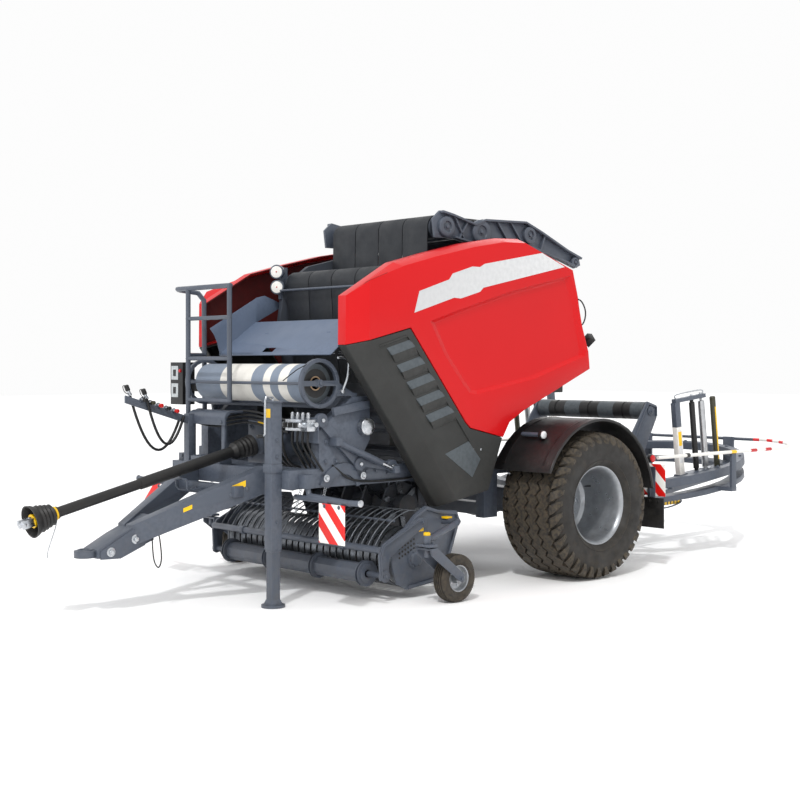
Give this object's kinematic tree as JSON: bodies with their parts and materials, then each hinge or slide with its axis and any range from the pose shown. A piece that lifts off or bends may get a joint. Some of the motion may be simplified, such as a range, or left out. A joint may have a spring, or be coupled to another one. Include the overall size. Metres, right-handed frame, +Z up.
{
  "type": "round baler with bale wrapper",
  "caption": "Towed variable-chamber round baler with red gull-wing side hoods, a wide pick-up, two large wheels and a bale wrapper with a film ring behind.",
  "frame": {"origin": "centre of the base of the whole machine, on the ground it stands on", "axes": "+Y points to the rear, the machine travels towards -Y; +X is its left side; +Z is up"},
  "size_m": [2.99, 7.7392, 3.02],
  "materials": {
    "slate_paint": "satin slate grey paint",
    "light_paint": "satin light grey paint",
    "red_paint": "gloss red",
    "trim_plastic": "matt dark grey",
    "black_plastic": "matt black",
    "belt_rubber": "matt dark grey belting",
    "hose_rubber": "black hose",
    "tyre_rubber": "dusty black rubber",
    "rim_silver": "silver paint",
    "bare_steel": "bare steel",
    "net_white": "white net on a roll",
    "white_paint": "white paint"
  },
  "bodies": {
    "chassis": {"chassis_frame": "slate_paint", "drawbar": "slate_paint", "jack": "slate_paint", "gearbox": "slate_paint", "pto_guard": "black_plastic", "hose_holder": "slate_paint", "hose_a": "hose_rubber", "hose_b": "hose_rubber", "service_platform": "slate_paint", "roll_cradle": "slate_paint", "chamber_wall_left": "slate_paint", "chamber_wall_right": "slate_paint", "front_roller": "slate_paint", "idler_roller": "slate_paint", "chamber_roller_1": "slate_paint", "chamber_roller_2": "slate_paint", "chamber_roller_3": "slate_paint", "tension_arms": "slate_paint", "top_roller": "slate_paint", "rear_top_roller": "slate_paint", "belts_front": "belt_rubber", "fender_left": "black_plastic", "fender_right": "black_plastic", "front_panel_left": "white_paint", "front_panel_right": "white_paint", "panel_arm_left": "slate_paint", "panel_arm_right": "slate_paint", "wrap_frame": "slate_paint", "safety_bar": "white_paint", "control_box": "black_plastic"},
    "pto_yoke": {"pto_yoke": "bare_steel"},
    "net_roll": {"net_roll": "net_white"},
    "net_cover": {"net_cover": "light_paint"},
    "tailgate": {"tailgate": "slate_paint", "belts_rear": "belt_rubber"},
    "hood_left": {"hood_left": "red_paint", "hood_trim_left": "trim_plastic"},
    "hood_right": {"hood_right": "red_paint", "hood_trim_right": "trim_plastic"},
    "pickup": {"pickup_frame": "slate_paint", "stripper_bands": "bare_steel"},
    "reel": {"pickup_reel": "slate_paint"},
    "press_arm": {"press_arm_frame": "slate_paint"},
    "press_roller": {"press_roller": "slate_paint"},
    "castor_left": {"gauge_fork_left": "slate_paint"},
    "castor_right": {"gauge_fork_right": "slate_paint"},
    "gauge_left": {"gauge_wheel_left": "tyre_rubber"},
    "gauge_right": {"gauge_wheel_right": "tyre_rubber"},
    "rotor": {"feed_rotor": "slate_paint"},
    "wheel_left": {"tyre_left": "tyre_rubber", "rim_left": "rim_silver"},
    "wheel_right": {"tyre_right": "tyre_rubber", "rim_right": "rim_silver"},
    "wrap_ring": {"wrap_ring": "slate_paint", "film_unit_a": "slate_paint", "film_unit_b": "slate_paint"},
    "table": {"table_frame": "slate_paint"},
    "table_low": {"table_roller_low": "slate_paint"},
    "table_high": {"table_roller_high": "slate_paint"}
  },
  "joints": [
    {"name": "wheel_left_spin", "type": "hinge", "parent": "chassis", "child": "wheel_left", "pos_m": [1.185, 0.55364, 0.611], "axis": [1, 0, 0], "continuous": true},
    {"name": "wheel_right_spin", "type": "hinge", "parent": "chassis", "child": "wheel_right", "pos_m": [-1.185, 0.55364, 0.611], "axis": [1, 0, 0], "continuous": true},
    {"name": "pto_spin", "type": "hinge", "parent": "chassis", "child": "pto_yoke", "pos_m": [0, -3.78525, 0.69563], "axis": [0, -0.9721, -0.2344], "continuous": true},
    {"name": "net_roll_spin", "type": "hinge", "parent": "chassis", "child": "net_roll", "pos_m": [0, -1.84636, 1.632], "axis": [1, 0, 0], "continuous": true},
    {"name": "net_cover_lift", "type": "hinge", "parent": "chassis", "child": "net_cover", "pos_m": [0, -1.31636, 2.13], "axis": [-1, 0, 0], "range_deg": [0, 70]},
    {"name": "tailgate_open", "type": "hinge", "parent": "chassis", "child": "tailgate", "pos_m": [0, 0.05364, 2.5], "axis": [1, 0, 0], "range_deg": [0, 35]},
    {"name": "hood_left_open", "type": "hinge", "parent": "chassis", "child": "hood_left", "pos_m": [0.8, 0.55364, 2.83], "axis": [0, -1, 0], "range_deg": [0, 60]},
    {"name": "hood_right_open", "type": "hinge", "parent": "chassis", "child": "hood_right", "pos_m": [-0.8, 0.55364, 2.83], "axis": [0, 1, 0], "range_deg": [0, 60]},
    {"name": "pickup_lift", "type": "hinge", "parent": "chassis", "child": "pickup", "pos_m": [0, -0.77636, 0.6], "axis": [-1, 0, 0], "range_deg": [0, 20]},
    {"name": "reel_spin", "type": "hinge", "parent": "pickup", "child": "reel", "pos_m": [0, -1.16636, 0.3], "axis": [1, 0, 0], "continuous": true},
    {"name": "press_arm_lift", "type": "hinge", "parent": "pickup", "child": "press_arm", "pos_m": [0, -1.08636, 0.56], "axis": [-1, 0, 0], "range_deg": [0, 15]},
    {"name": "press_roller_spin", "type": "hinge", "parent": "press_arm", "child": "press_roller", "pos_m": [0, -1.49136, 0.199], "axis": [1, 0, 0], "continuous": true},
    {"name": "castor_left_swivel", "type": "hinge", "parent": "pickup", "child": "castor_left", "pos_m": [1.375, -1.34636, 0.4], "axis": [0, 0, 1], "range_deg": [-20, 20]},
    {"name": "gauge_left_spin", "type": "hinge", "parent": "castor_left", "child": "gauge_left", "pos_m": [1.375, -1.06636, 0.18], "axis": [1, 0, 0], "continuous": true},
    {"name": "castor_right_swivel", "type": "hinge", "parent": "pickup", "child": "castor_right", "pos_m": [-1.375, -1.34636, 0.4], "axis": [0, 0, 1], "range_deg": [-20, 20]},
    {"name": "gauge_right_spin", "type": "hinge", "parent": "castor_right", "child": "gauge_right", "pos_m": [-1.375, -1.06636, 0.18], "axis": [1, 0, 0], "continuous": true},
    {"name": "rotor_spin", "type": "hinge", "parent": "chassis", "child": "rotor", "pos_m": [0, -0.81636, 0.64], "axis": [1, 0, 0], "continuous": true},
    {"name": "wrap_ring_spin", "type": "hinge", "parent": "chassis", "child": "wrap_ring", "pos_m": [0, 2.57364, 0.76], "axis": [0, -0.1219, 0.9925], "continuous": true},
    {"name": "table_tilt", "type": "hinge", "parent": "chassis", "child": "table", "pos_m": [0, 1.97364, 0.79], "axis": [1, 0, 0], "range_deg": [-35, 0]},
    {"name": "table_roller_low_spin", "type": "hinge", "parent": "table", "child": "table_low", "pos_m": [0, 1.95364, 0.925], "axis": [1, 0, 0], "continuous": true},
    {"name": "table_roller_high_spin", "type": "hinge", "parent": "table", "child": "table_high", "pos_m": [0, 2.25364, 1.33], "axis": [1, 0, 0], "continuous": true}
  ]
}
